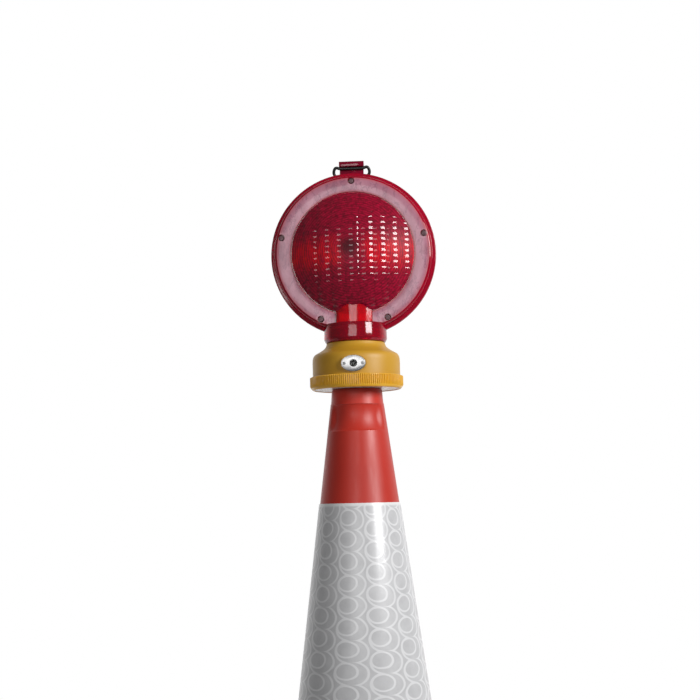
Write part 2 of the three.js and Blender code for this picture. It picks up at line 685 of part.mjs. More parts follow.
function head() {
  const group = new THREE.Group();
  group.position.z = HEAD_Z;
  const { halfX, halfY, low, high } = LED_BOARD;
  group.add(
    piece('front_lens', frontLens(), FINISH.redLens),
    piece('rear_lens', rearLens(), FINISH.redLens),
    piece('lens_gasket', lensGasket(), FINISH.rubber),
    piece('front_reflector', reflectorRing(true), FINISH.reflector),
    piece('rear_reflector', reflectorRing(false).rotate([0, 0, 180]), FINISH.reflector),
    piece('led_post', ledPost(), FINISH.blackPlastic),
    piece('led_board', box([-halfX, -halfY, low], [halfX, halfY, high]), FINISH.board),
    piece('led_front', led(), FINISH.led),
    piece('led_rear', led().rotate([0, 0, 180]), FINISH.led),
    piece('lamp_cable', lampCable(), FINISH.blackPlastic),
    piece('wire_bail', wireBail(), FINISH.blackWire),
  );
  const lensScrew = facingFront(screw(SCREW.headR, 2.1, SCREW.r, 17))
    .translate([0, -SHELL.face + 2.2, SCREW.ring]);
  SCREW.angles.forEach((angle, i) => {
    group.add(piece(`lens_screw_${i + 1}`, lensScrew.rotate([0, angle, 0]), FINISH.darkScrew));
  });
  return group;
}

// ---- the whole object ------------------------------------------------------

const lamp = new THREE.Group();
lamp.position.z = CONE_HEIGHT + GAP + PLATE.step;
lamp.add(
  lampBase(),
  piece('mode_slider', modeSlider(), FINISH.blackPlastic),
  piece('locking_ring', lockingRing(), FINISH.yellow),
  head(),
);

const object = new THREE.Group();
object.add(cone(), lamp);

export default object;
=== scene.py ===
"""A traffic cone with a two-way warning lamp on its top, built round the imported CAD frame.
"""

import json
import math

import bmesh
import bpy
from mathutils import Matrix, Vector


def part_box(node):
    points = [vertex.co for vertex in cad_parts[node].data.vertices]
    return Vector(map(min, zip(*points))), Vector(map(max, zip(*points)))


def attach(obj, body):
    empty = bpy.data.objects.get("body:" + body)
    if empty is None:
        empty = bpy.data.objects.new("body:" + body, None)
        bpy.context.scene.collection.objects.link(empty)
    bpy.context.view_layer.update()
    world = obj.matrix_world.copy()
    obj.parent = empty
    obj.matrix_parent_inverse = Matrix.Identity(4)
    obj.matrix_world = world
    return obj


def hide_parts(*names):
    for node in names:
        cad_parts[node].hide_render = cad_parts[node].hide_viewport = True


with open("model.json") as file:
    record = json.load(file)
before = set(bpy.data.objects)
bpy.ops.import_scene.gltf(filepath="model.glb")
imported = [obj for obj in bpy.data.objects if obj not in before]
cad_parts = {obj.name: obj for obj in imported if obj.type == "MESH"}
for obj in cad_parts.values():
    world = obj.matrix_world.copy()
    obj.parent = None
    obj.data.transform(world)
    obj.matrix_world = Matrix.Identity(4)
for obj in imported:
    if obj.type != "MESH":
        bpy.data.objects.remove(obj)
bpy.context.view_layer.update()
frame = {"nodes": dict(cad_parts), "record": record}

MM = 0.001
ROUND = 128  # segments of a round piece
WIDE_ROUND = 160  # segments of the rounds that show their outline most
TOOL_ROUND = 96  # segments of a hollow that is hardly seen
FINE_ROUND = 40  # segments of a screw

# ---- sizes, in millimetres -------------------------------

CONE = {"top_r": 28.2, "taper": 0.13, "height": 900.0, "wall": 4.0, "mouth_r": 22.5, "plug": 62.0}
CONE_BAND = {"low": 883.0, "r": 29.6}  # the near-cylindrical band at the cone's mouth
CONE_FLANGE = {"r": 156.0, "low": 5.0, "high": 10.0}
CONE_ROUND = 144  # segments round the cone
GRIP = {"low": 852.0, "high": 882.0, "half_angle": 58.0, "blend": 18.0, "depth": 3.4, "step": 0.4}
GRIP_ROWS = 22  # rows of faces up the grip hollows
BASE = {"corner": 50.0, "foot": 4.0, "top": 38.0, "bevel": 5.0, "collar": 9.0, "gap": 0.4}
FOOT = {"half_length": 26.0, "half_width": 14.0, "inset": 20.0, "spacing": 50.0}
CASE = {"r": 50.0, "wall": 3.0, "bottom": 5.1, "neck_top": 51.4, "throat_r": 10.0, "window_r": 4.6}
SPIGOT = {"r": 29.8, "groove_r": 27.2, "inner_r": 24.2, "groove_top": 57.1, "top": 66.0}
RING = {
    "r": 53.4,
    "inner_r": 50.6,
    "lip_r": 48.4,
    "low": -2.0,
    "high": 13.1,
    "ribs": 138,
    "rib": 1.3,
}
PLATE_STEP = 1.4  # how far the bottom plate stands below the lamp's own zero
BEZEL = {
    "half_x": 13.7,
    "half_z": 9.1,
    "z": 24.2,
    "thickness": 1.5,
    "window_r": 4.3,
    "screw_x": 10.3,
    "hole_r": 1.3,
}
BEZEL_SCREW = {"head_r": 1.7, "head": 0.9, "shank_r": 0.95, "length": 6.0}
BOSS_FACE = 50.7  # how far the seat of the bezel stands out from the lamp's axis
COLLAR = {
    "r": 36.1,
    "low": 51.7,
    "high": 73.2,
    "seal_r": 33.4,
    "lip_r": 27.7,
    "bore_r": 30.6,
    "floor": 69.5,
}
NECK = {"half_x": 20.6, "front": 21.0, "arc_r": 36.0, "wall": 2.5, "top": 104.0, "hole_r": 14.0}
SHELL = {
    "wall": 2.5,
    "lens_r": 70.1,
    "flange_r": 88.2,
    "side_r": 90.5,
    "rim_r": 95.2,
    "face": 12.0,
    "rim": 3.0,
}
DOME = {"step": 3.0, "r": 120.0, "wall": 2.6}
# The middle of the dome's curve, measured out from the head's middle plane; it lies behind it.
DOME_RISE = SHELL["face"] + DOME["step"] - math.sqrt(DOME["r"] ** 2 - SHELL["lens_r"] ** 2)
PILLOW = {"width": 16.0, "height": 7.2, "rise_x": 1.75, "rise_z": 0.49, "per_x": 14, "per_z": 12}
PARTING = 0.6  # how far each half of the head stands off its middle plane
LENS_SCREW = {"head_r": 3.1, "head": 2.1, "shank_r": 1.7, "length": 17.0, "sunk": 2.2}
SCREW_CIRCLE = {
    "r": 84.4,
    "angles": (0, 76, 153, -153, -76),
    "boss_r": 4.8,
    "recess_r": 3.9,
    "hole_r": 2.1,
}
BAIL = {"r": 1.75, "pivot_y": 7.5, "pivot_z": 92.0, "bar_y": 3.5, "bar_z": 102.0, "half": 20.9}
BRACKET = {"half_x": 13.9, "cap_half_x": 14.4, "cap_low": 104.2, "cap_high": 110.0, "block": 96.5}

# The film's pattern, in metres: rings on shifted lattices, large ones with a smaller one inside each.
FILM = {
    "radius": 0.047,
    "pitch": (0.0536, 0.0236),
    "line": 0.0017,
    "drift": 0.004,
    "rings": (
        ((0.12, 0.1), 0.0128),
        ((0.62, 0.6), 0.0128),
        ((0.19, 0.02), 0.0086),
        ((0.69, 0.52), 0.0086),
    ),
}

TENTHS = 10  # a ramp over a distance reads it in tenths of a metre

# What is seen through the lens, in metres: fine rings, two bright zones of painted light that comes
# through from behind, and a dark spot of painted shade where the board behind the middle stops that
# light.
INSIDE = {"ring_pitch": 0.0027, "zone_drop": 0.003, "board_x": -0.003, "board_rise": 0.004}

# The lamp's seat on the cone, and the lens centre, read from the frame in metres.
SEAT_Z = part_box("bottom_plate")[0].z + PLATE_STEP * MM
LENS_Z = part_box("front_lens")[1].z - SHELL["rim_r"] * MM

LAMP_AT = Matrix.Translation((0, 0, SEAT_Z))
HEAD_AT = Matrix.Translation((0, 0, LENS_Z))
GROUND_AT = Matrix.Identity(4)
FACING_FRONT = Matrix.Rotation(math.radians(90), 4, "X")  # +Z becomes -Y
HALF_TURN = Matrix.Rotation(math.pi, 4, "Z")


# ---- mesh helpers ----------------------------------------


def new_object(name, verts, faces, place, local=Matrix.Identity(4), sharp=35):
    """A smooth-shaded object from millimetre points in a local frame, put where place says."""
    mesh = bpy.data.meshes.new(name)
    mesh.from_pydata([place @ ((local @ Vector(v)) * MM) for v in verts], [], faces)
    clean(mesh)
    obj = bpy.data.objects.new(name, mesh)
    bpy.context.scene.collection.objects.link(obj)
    smooth(obj, sharp)
    return obj


def clean(mesh):
    """Joins doubled points and turns every face outwards."""
    work = bmesh.new()
    work.from_mesh(mesh)
    bmesh.ops.remove_doubles(work, verts=work.verts, dist=1e-7)
    bmesh.ops.recalc_face_normals(work, faces=work.faces)
    work.to_mesh(mesh)
    work.free()


def smooth(obj, sharp):
    """Shades smooth, with edges sharper than the given degrees kept."""
    obj.data.shade_smooth()
    obj.data.set_sharp_from_angle(angle=math.radians(sharp))


def rounded(points, steps=4):
    """An outline of (r, z) or (r, z, fillet) points, each filleted corner turned into a curve."""
    out = []
    count = len(points)
    for i, point in enumerate(points):
        here = Vector(point[:2])
        size = point[2] if len(point) > 2 else 0
        if not size:
            out.append(tuple(here))
            continue
        before = Vector(points[i - 1][:2]) - here
        after = Vector(points[(i + 1) % count][:2]) - here
        start = here + before.normalized() * min(size, before.length * 0.48)
        end = here + after.normalized() * min(size, after.length * 0.48)
        for k in range(steps + 1):
            t = k / steps
            out.append(tuple(start * (1 - t) ** 2 + here * 2 * t * (1 - t) + end * t * t))
    return out


def lathe(name, outline, place, local=Matrix.Identity(4), segments=ROUND, shape=None, sharp=35):
    """Turns a closed outline of (r, z) about +Z. shape(r, z, angle) may give each point a new radius."""
    verts, rings = [], []
    for r, z in outline:
        if r < 1e-6:
            rings.append([len(verts)] * segments)
            verts.append((0, 0, z))
            continue
        rings.append(list(range(len(verts), len(verts) + segments)))
        for k in range(segments):
            a = 2 * math.pi * k / segments
            radius = shape(r, z, a) if shape else r
            verts.append((radius * math.cos(a), radius * math.sin(a), z))
    faces = []
    for i, ring in enumerate(rings):
        other = rings[(i + 1) % len(rings)]
        if ring[0] == ring[1] and other[0] == other[1]:
            continue
        for k in range(segments):
            n = (k + 1) % segments
            face = dict.fromkeys((ring[k], ring[n], other[n], other[k]))
            faces.append(tuple(face))
    return new_object(name, verts, faces, place, local, sharp)


def prism(name, outline, low, high, place, local=Matrix.Identity(4)):
    """An outline of (x, y) raised from low to high along +Z."""
    count = len(outline)
    verts = [(x, y, low) for x, y in outline] + [(x, y, high) for x, y in outline]
    faces = [tuple(range(count)), tuple(range(count, 2 * count))]
    faces += [(i, (i + 1) % count, count + (i + 1) % count, count + i) for i in range(count)]
    return new_object(name, verts, faces, place, local)


def box(name, low, high, place, local=Matrix.Identity(4)):
    (x0, y0, z0), (x1, y1, z1) = low, high
    return prism(name, [(x0, y0), (x1, y0), (x1, y1), (x0, y1)], z0, z1, place, local)


def rod(name, r, low, high, place, local=Matrix.Identity(4), segments=FINE_ROUND):
    return lathe(name, [(0, low), (r, low), (r, high), (0, high)], place, local, segments)


def combine(target, tool, operation="DIFFERENCE"):
    """Cuts or joins target with tool, and deletes the tool."""
    step = target.modifiers.new("join", "BOOLEAN")
    step.operation = operation
    step.solver = "EXACT"
    step.object = tool
    apply_modifiers(target)
    bpy.data.objects.remove(tool)
    return target


def apply_modifiers(obj):
    graph = bpy.context.evaluated_depsgraph_get()
    made = bpy.data.meshes.new_from_object(obj.evaluated_get(graph))
    obj.modifiers.clear()
    obj.data = made


def softened(obj, width, segments=2, angle=40):
    """Rounds the sharp edges, then shades smooth."""
    step = obj.modifiers.new("edges", "BEVEL")
    step.width = width * MM
    step.segments = segments
    step.limit_method = "ANGLE"
    step.angle_limit = math.radians(angle)
    apply_modifiers(obj)
    smooth(obj, 50)


def finished(obj, body, material, slot, *nodes):
    """Gives a piece its body and finish, and hides the CAD nodes that it stands for."""
    obj.data.materials.clear()
    obj.data.materials.append(material)
    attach(obj, body)
    if nodes:
        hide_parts(*nodes)


# ---- materials -------------------------------------------


def grey(value):
    return (value, value, value)


class Shader:
    """A short way to wire up one node material."""

    def __init__(self, name, **values):
        self.material = bpy.data.materials.new(name)
        self.material.use_nodes = True
        self.nodes = self.material.node_tree.nodes
        self.links = self.material.node_tree.links
        self.surface = self.nodes["Principled BSDF"]
        for key, value in values.items():
            self.surface.inputs[key.replace("_", " ")].default_value = value
        coordinates = self.nodes.new("ShaderNodeTexCoord")
        self.place = coordinates.outputs["Object"]

    def noise(self, scale, detail=3.0, roughness=0.5, stretch=(1, 1, 1)):
        """A noise texture in the object's own metres, stretched along its axes."""
        mapping = self.nodes.new("ShaderNodeMapping")
        mapping.inputs["Scale"].default_value = stretch
        self.links.new(self.place, mapping.inputs["Vector"])
        texture = self.nodes.new("ShaderNodeTexNoise")
        texture.inputs["Scale"].default_value = scale
        texture.inputs["Detail"].default_value = detail
        texture.inputs["Roughness"].default_value = roughness
        self.links.new(mapping.outputs["Vector"], texture.inputs["Vector"])
        return texture.outputs["Fac"]

    def ramp(self, value, *stops):
        """Maps a value to colours or greys given as (position, colour) stops."""
        ramp = self.nodes.new("ShaderNodeValToRGB")
        elements = ramp.color_ramp.elements
        while len(elements) < len(stops):
            elements.new(0.5)
        for element, (position, colour) in zip(elements, stops):
            element.position = position
            element.color = (*colour, 1)
        self.links.new(value, ramp.inputs["Fac"])
        return ramp.outputs["Color"]

    def math(self, operation, first, second=0.0):
        """One sum on numbers or the outputs of other nodes."""
        node = self.nodes.new("ShaderNodeMath")
        node.operation = operation
        for socket, value in zip(node.inputs, (first, second)):
            if isinstance(value, (int, float)):
                socket.default_value = value
            else:
                self.links.new(value, socket)
        return node.outputs[0]

    def mix(self, share, first, second):
        """Blends two colours; each may be a value or the output of another node."""
        node = self.nodes.new("ShaderNodeMix")
        node.data_type = "RGBA"
        sockets = (node.inputs[0], node.inputs[6], node.inputs[7])
        for socket, value in zip(sockets, (share, first, second)):
            if isinstance(value, (int, float)):
                socket.default_value = value
            elif isinstance(value, tuple):
                socket.default_value = (*value, 1)
            else:
                self.links.new(value, socket)
        return node.outputs[2]

    def axis(self, name):
        """One of the object's own coordinates."""
        split = self.nodes.new("ShaderNodeSeparateXYZ")
        self.links.new(self.place, split.inputs[0])
        return split.outputs[name]

    def distance(self, x, z):
        """Distance in metres from a line that runs along Y."""
        mapping = self.nodes.new("ShaderNodeMapping")
        mapping.inputs["Location"].default_value = (-x, 0, -z)
        mapping.inputs["Scale"].default_value = (1, 0, 1)
        self.links.new(self.place, mapping.inputs["Vector"])
        length = self.nodes.new("ShaderNodeVectorMath")
        length.operation = "LENGTH"
        self.links.new(mapping.outputs["Vector"], length.inputs[0])
        return length.outputs["Value"]

    def colour(self, value):
        self.links.new(value, self.surface.inputs["Base Color"])

    def rough(self, value):
        self.links.new(value, self.surface.inputs["Roughness"])

    def bump(self, height, distance, strength):
        """Adds a bump of the given height in metres, on top of any that is there."""
        node = self.nodes.new("ShaderNodeBump")
        node.inputs["Distance"].default_value = distance
        node.inputs["Strength"].default_value = strength
        self.links.new(height, node.inputs["Height"])
        socket = self.surface.inputs["Normal"]
        if socket.links:
            self.links.new(socket.links[0].from_socket, node.inputs["Normal"])
        self.links.new(node.outputs["Normal"], socket)


def cone_red():
    shader = Shader("cone_red", Roughness=0.4, Specular_IOR_Level=0.45)
    blotch = shader.noise(14, 5)
    scuff = shader.noise(120, 4, 0.6, (1, 1, 0.12))
    base = shader.ramp(blotch, (0.25, (0.44, 0.023, 0.013)), (0.75, (0.52, 0.030, 0.016)))
    worn = shader.ramp(scuff, (0.62, grey(0)), (0.8, grey(0.35)))
    shader.colour(shader.mix(worn, base, (0.52, 0.1, 0.07)))
    shader.rough(shader.ramp(scuff, (0.3, grey(0.34)), (0.75, grey(0.52))))
    shader.bump(shader.noise(900, 2), 0.00005, 0.5)
    return shader.material


def base_rubber():
    shader = Shader("base_rubber", Roughness=0.8, Specular_IOR_Level=0.3)
    crumbs = shader.noise(320, 3, 0.6)
    dust = shader.noise(9, 5)
    base = shader.ramp(crumbs, (0.35, (0.012, 0.012, 0.013)), (0.75, (0.045, 0.044, 0.043)))
    dusty = shader.ramp(dust, (0.5, grey(0)), (0.8, grey(0.4)))
    shader.colour(shader.mix(dusty, base, (0.12, 0.11, 0.1)))
    shader.bump(crumbs, 0.0006, 0.7)
    return shader.material


def case_yellow(name, deep, pale, low, high):
    """Yellow plastic whose colour and roughness each wander between two values."""
    shader = Shader(name)
    blotch = shader.noise(24, 4)
    base = shader.ramp(blotch, (0.3, deep), (0.7, pale))
    grime = shader.ramp(shader.noise(70, 6, 0.65), (0.6, grey(0)), (0.85, grey(0.3)))
    shader.colour(shader.mix(grime, base, (0.4, 0.2, 0.04)))
    shader.rough(shader.ramp(blotch, (0.3, grey(low)), (0.7, grey(high))))
    shader.bump(shader.noise(1400, 2), 0.00004, 0.6)
    return shader.material


def lens_red(name, transmission, low, high):
    """Clear red plastic whose colour wanders between two values."""
    shader = Shader(name, Roughness=0.08, IOR=1.46, Transmission_Weight=transmission)
    shader.colour(shader.ramp(shader.noise(30, 3), (0.3, low), (0.7, high)))
    shader.bump(shader.noise(120, 2), 0.00003, 0.2)
    return shader.material


def neck_red():
    """The collar's deep red and, above it, the neck painted a brighter red: painted light that comes
    through its thin wall from behind.
    """
    shader = Shader("neck_red", Roughness=0.08, IOR=1.46, Transmission_Weight=0.65)
    span = 100.0  # millimetres above the seat that the ramp covers
    height = shader.math("DIVIDE", shader.math("SUBTRACT", shader.axis("Z"), SEAT_Z), span * MM)
    top = COLLAR["high"] / span
    # Painted light: the neck above the collar is painted brighter for the light that comes through its
    # thin wall.
    backlit_neck = shader.ramp(height, (top - 0.006, grey(0)), (top + 0.004, grey(1)))
    cloud = shader.noise(30, 3)
    collar = shader.ramp(cloud, (0.3, (0.52, 0.0003, 0.024)), (0.7, (0.62, 0.0005, 0.034)))
    shader.colour(shader.mix(backlit_neck, collar, (0.97, 0.0004, 0.018)))
    shader.bump(shader.noise(120, 2), 0.00003, 0.2)
    return shader.material


def lens_dome():
    """The dome of the lens: a deep red body under a clear face that is moulded in pillows.

    The body is shaded as a plain dome, with fine rings; the two bright zones beside its middle are
    painted light that comes through from behind, the dark spot in its middle is painted shade of the
    board behind it, and the pillows show in the coat alone.
    """
    shader = Shader("lens_dome", Roughness=0.4, IOR=1.46, Transmission_Weight=0.25,
                    Specular_IOR_Level=0.0, Coat_Weight=0.85, Coat_Roughness=0.06)
    # Painted light: two bright zones beside the middle, where light from behind comes through the lens.
    x = shader.math("ABSOLUTE", shader.axis("X"))
    z = shader.math("ABSOLUTE", shader.math("SUBTRACT", shader.axis("Z"), LENS_Z - INSIDE["zone_drop"]))
    sideways = shader.math("MULTIPLY", x, TENTHS)
    beside = shader.ramp(sideways, (0.06, grey(0)), (0.22, grey(1)), (0.64, grey(0.8)))
    level = shader.ramp(shader.math("MULTIPLY", z, TENTHS), (0.06, grey(1)), (0.26, grey(0)))
    backlight_flecks = shader.ramp(shader.noise(150, 4, 0.6, (1, 1, 0.5)), (0.36, grey(0.15)), (0.62, grey(1)))
    painted_backlight = shader.math("MULTIPLY", shader.math("MULTIPLY", beside, level), backlight_flecks)
    tint = shader.noise(260, 3, 0.65, (1, 1, 1.5))
    deep = shader.ramp(tint, (0.36, (0.20, 0.0001, 0.016)), (0.64, (0.52, 0.0004, 0.040)))
    radius = shader.distance(0, LENS_Z)
    wave = shader.math("SINE", shader.math("MULTIPLY", radius, 2 * math.pi / INSIDE["ring_pitch"]))
    # Painted shade: a dark spot in the middle, where the board behind the lens stops the light from
    # behind.
    board = shader.distance(INSIDE["board_x"], LENS_Z + INSIDE["board_rise"])
    shade = shader.ramp(shader.math("MULTIPLY", board, TENTHS), (0.05, grey(0.75)), (0.14, grey(0)))
    red = shader.mix(painted_backlight, deep, (0.97, 0.0006, 0.014))
    groove = shader.math("MULTIPLY", shader.math("MAXIMUM", wave, 0.0), 0.6)
    ringed = shader.mix(groove, red, (0.12, 0.0, 0.008))
    shader.colour(shader.mix(shade, ringed, (0.05, 0.0, 0.005)))
    shader.links.new(dome_normal(shader), shader.surface.inputs["Normal"])
    shader.bump(wave, 0.00002, 0.3)
    return shader.material


def dome_normal(shader):
    """The outward direction of a plain dome in front of and behind the head."""
    y = shader.axis("Y")
    centre_y = shader.math("MULTIPLY", shader.math("SIGN", y), DOME_RISE * MM)
    direction = shader.nodes.new("ShaderNodeCombineXYZ")
    parts = (
        shader.axis("X"),
        shader.math("SUBTRACT", y, centre_y),
        shader.math("SUBTRACT", shader.axis("Z"), LENS_Z),
    )
    for part, socket in zip(parts, direction.inputs):
        shader.links.new(part, socket)
    turned = shader.nodes.new("ShaderNodeVectorTransform")
    turned.vector_type = "NORMAL"
    turned.convert_from = "OBJECT"
    turned.convert_to = "WORLD"
    shader.links.new(direction.outputs[0], turned.inputs[0])
    return turned.outputs[0]


def reflector_lilac():
    """The retroreflective ring: lilac and marbled, a colour that is partly painted reflection of the
    studio's light, with pink towards both edges where that painted reflection fades.
    """
    shader = Shader("reflector_lilac", Roughness=0.34, Coat_Weight=0.4, Coat_Roughness=0.12)
    # Painted reflection: the lilac marbling stands partly for the studio's light reflected in the ring.
    warp = shader.noise(24, 6, 0.7, (1.4, 1, 0.9))
    veins = shader.noise(30, 6, 0.75, (1.8, 1, 0.8))
    marble_and_sheen = shader.ramp(
        warp,
        (0.30, (0.26, 0.08, 0.12)),
        (0.45, (0.37, 0.13, 0.185)),
        (0.56, (0.43, 0.17, 0.235)),
        (0.72, (0.50, 0.22, 0.28)),
    )
    streak = shader.ramp(veins, (0.475, grey(0)), (0.5, grey(0.75)), (0.525, grey(0)))
    lilac = shader.mix(streak, marble_and_sheen, (0.19, 0.06, 0.11))
    # Painted reflection fading: pink towards the inner and outer edges, where the ring's red shows.
    radius = shader.distance(0, LENS_Z)
    edge = shader.ramp(
        shader.math("MULTIPLY", radius, TENTHS),
        (0.712, grey(0.9)),
        (0.735, grey(0)),
        (0.845, grey(0)),
        (0.885, grey(0.9)),
    )
    shader.colour(shader.mix(edge, lilac, (0.50, 0.10, 0.12)))
    shader.bump(warp, 0.0003, 0.35)
    return shader.material


def ring_lattice(shader, across, up, shift, ring):
    """Lines of equal circles on a rectangular lattice; shift is in lattice steps, sizes in metres."""
    offsets = []
    for value, pitch, part in zip((across, up), FILM["pitch"], shift):
        steps = shader.math("ADD", shader.math("DIVIDE", value, pitch), part)
        centred = shader.math("SUBTRACT", shader.math("FRACT", steps), 0.5)
        offset = shader.math("MULTIPLY", centred, pitch)
        offsets.append(shader.math("MULTIPLY", offset, offset))
    distance = shader.math("SQRT", shader.math("ADD", *offsets))
    off_line = shader.math("ABSOLUTE", shader.math("SUBTRACT", distance, ring))
    share = shader.math("DIVIDE", off_line, FILM["line"])
    return shader.ramp(share, (0.35, grey(1)), (0.75, grey(0)))


def reflective_film():
    """Grey film with pale linked rings laid round the sleeve, and a plain white border."""
    low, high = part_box("reflective_sleeve")
    shader = Shader("reflective_film", Roughness=0.34, Coat_Weight=0.2, Coat_Roughness=0.12)
    x, y, z = (shader.axis(name) for name in "XYZ")
    angle = shader.math("ARCTAN2", x, shader.math("MULTIPLY", y, -1.0))
    across = shader.math("MULTIPLY", angle, FILM["radius"])
    drift = shader.math("MULTIPLY", shader.math("SUBTRACT", shader.noise(30, 2), 0.5), FILM["drift"])
    across = shader.math("ADD", across, drift)
    up = shader.math("SUBTRACT", z, drift)
    lines = None
    for shift, ring in FILM["rings"]:
        line = ring_lattice(shader, across, up, shift, ring)
        lines = line if lines is None else shader.mix(line, lines, grey(1))
    cloud = shader.noise(80, 5, 0.6)
    grey_film = shader.ramp(cloud, (0.3, (0.48, 0.48, 0.49)), (0.7, (0.56, 0.56, 0.57)))
    patterned = shader.mix(lines, grey_film, (0.68, 0.68, 0.69))
    height = shader.math("DIVIDE", shader.math("SUBTRACT", z, low.z), high.z - low.z)
    border = shader.ramp(height, (0.0, grey(1)), (0.012, grey(0)), (0.988, grey(0)), (0.989, grey(1)))
    shader.colour(shader.mix(border, patterned, grey(0.74)))
    shader.bump(lines, 0.00008, 0.5)
    return shader.material


def plain(name, low, high, roughness, scale=200, metallic=0.0, bump=0.00003):
    """A moulded or metal surface whose colour wanders between two values."""
    shader = Shader(name, Roughness=roughness, Metallic=metallic)
    grain_and_sheen = shader.noise(scale, 4)
    shader.colour(shader.ramp(grain_and_sheen, (0.3, low), (0.7, high)))
    spread = roughness * 0.3
    dull = roughness + spread
    shine = max(roughness - spread, 0.02)
    shader.rough(shader.ramp(grain_and_sheen, (0.3, grey(shine)), (0.7, grey(dull))))
    shader.bump(grain_and_sheen, bump, 0.5)
    return shader.material


def clear_window():
    """A clear window that hardly bends the light."""
    material = plain("clear_window", grey(0.85), grey(0.95), 0.05, 50, 0.0, 0.000005)
    surface = material.node_tree.nodes["Principled BSDF"]
    surface.inputs["Transmission Weight"].default_value = 1.0
    surface.inputs["IOR"].default_value = 1.12
    return material


MATERIALS = {
    "cone_plastic": cone_red(),
    "base_rubber": base_rubber(),
    "reflective_film": reflective_film(),
    "case_yellow": case_yellow("case_yellow", (0.50, 0.255, 0.014), (0.56, 0.295, 0.018), 0.4, 0.5),
    "plate_pale": plain("plate_pale", (0.76, 0.69, 0.61), (0.82, 0.75, 0.67), 0.26, 200, 0.0, 0.000005),
    "lens_red": lens_red("lens_red", 0.55, (0.56, 0.0003, 0.030), (0.68, 0.0005, 0.042)),
    "reflector_lilac": reflector_lilac(),
    "black_plastic": plain("black_plastic", grey(0.012), grey(0.025), 0.5),
    "seal_rubber": plain("seal_rubber", grey(0.015), grey(0.03), 0.75),
    # Painted reflection: the bezel's large blotches of lighter and darker grey stand for reflections in
    # its polished face.
    "bright_metal": plain("bright_metal", grey(0.24), grey(0.50), 0.28, 45, 1.0, 0.000005),
    "screw_steel": plain("screw_steel", grey(0.2), grey(0.32), 0.4, 500, 0.9),
    "lens_screw": plain("lens_screw", (0.12, 0.065, 0.075), (0.20, 0.12, 0.13), 0.45, 500, 0.6),
    "black_wire": plain("black_wire", grey(0.008), grey(0.018), 0.35),
    "brass": plain("brass", (0.55, 0.38, 0.12), (0.68, 0.5, 0.2), 0.3, 300, 1.0),
    "cell_jacket": plain("cell_jacket", (0.02, 0.025, 0.03), (0.035, 0.04, 0.05), 0.3, 90, 0.3),
    "board_green": plain("board_green", (0.01, 0.09, 0.035), (0.02, 0.13, 0.05), 0.45, 300),
    "sensor_dark": plain("sensor_dark", (0.025, 0.028, 0.024), (0.07, 0.075, 0.065), 0.45, 900),
    "clear_window": clear_window(),
    "led_clear": plain("led_clear", (0.8, 0.78, 0.68), (0.9, 0.88, 0.8), 0.15, 200),
}
LENS_DOME = lens_dome()
NECK_RED = neck_red()
BRACKET_RED = lens_red("bracket_red", 0.3, (0.20, 0.0004, 0.018), (0.28, 0.0006, 0.026))
# Painted light: the ring is the case's yellow plastic, painted a lighter yellow for the light that falls
# on its ribs.
RING_YELLOW_LIT = case_yellow("ring_yellow", (0.69, 0.36, 0.018), (0.77, 0.41, 0.023), 0.22, 0.3)


def dress_frame():
    """Gives every CAD node the procedural finish of its slot."""
    for part in frame["record"]["subparts"]:
        obj = frame["nodes"][part["node"]]
        obj.data.materials.clear()
        obj.data.materials.append(MATERIALS[part["material_slot"]])


# ---- the cone --------------------------------------------


def cone_r(z):
    """The cone's outer radius at a height."""
    return CONE["top_r"] + CONE["taper"] * (CONE["height"] - z)


def smoothstep(value):
    value = min(1.0, max(0.0, value))
    return value * value * (3 - 2 * value)


def grip_shape(r, z, angle):
    """The cone's radius with the grip hollow in its front and another in its back."""
    if r < cone_r(z) - 1.5:
        return r
    up = (z - GRIP["low"]) / (GRIP["high"] - GRIP["low"])
    if not 0 <= up <= 1:
        return r
    turn = (math.degrees(angle) + 90) % 180
    off = min(turn, 180 - turn)
    across = smoothstep((GRIP["half_angle"] - off) / GRIP["blend"] + 0.5)
    along = 1 - (2 * up - 1) ** 2
    return r - across * (GRIP["step"] + (GRIP["depth"] - GRIP["step"]) * along)


def make_cone():
    top = CONE["height"]
    plug_end = top - CONE["plug"]
    flange = CONE_FLANGE
    wall = CONE["wall"]
    low, high = GRIP["low"], GRIP["high"]
    step = (high - low) / GRIP_ROWS
    heights = list(range(80, int(low), 40))  # the plain part below the grip
    heights += [low - 0.6, low - 0.2]
    heights += [low + i * step for i in range(GRIP_ROWS + 1)]
    heights += [high + 0.2, high + 0.6]
    outline = rounded([
        (cone_r(flange["low"]) - wall, flange["low"]),
        (flange["r"], flange["low"], 1.5),
        (flange["r"], flange["high"], 1.5),
        (cone_r(flange["high"]) + 0.2, flange["high"], 3),
        (cone_r(40), 40),
    ])
    outline += [(cone_r(z), z) for z in heights]
    outline += rounded([
        (CONE_BAND["r"] + 0.2, CONE_BAND["low"] + 1.5),
        (CONE_BAND["r"] - 1.0, top, 1.2),
        (CONE["mouth_r"], top, 0.8),
        (CONE["mouth_r"] + 0.5, top - 20, 2),
    ])
    outline += [(cone_r(plug_end) - wall, plug_end)]
    obj = lathe("cone_shell", outline, GROUND_AT, segments=CONE_ROUND, shape=grip_shape, sharp=50)
    finished(obj, "cone", MATERIALS["cone_plastic"], "cone_plastic", "cone_body")


def base_outline(half, corner, inset):
    """The base's cut-cornered square, inset from its edge."""
    h = half - inset
    c = half - corner
    return [(c, -h), (h, -c), (h, c), (c, h), (-c, h), (-h, c), (-h, -c), (-c, -h)]


def add_feet(slab, half):
    """Joins three feet to the underside along each edge of the base."""
    foot_at = half - FOOT["inset"]
    low_y, high_y = foot_at - FOOT["half_width"], foot_at + FOOT["half_width"]
    for turn in range(4):
        local = Matrix.Rotation(turn * math.pi / 2, 4, "Z")
        for along in (-1, 0, 1):
            x = along * (foot_at - FOOT["spacing"])
            low = (x - FOOT["half_length"], low_y, 0)
            high = (x + FOOT["half_length"], high_y, BASE["foot"] + 1)
            combine(slab, box("tool", low, high, GROUND_AT, local), "UNION")


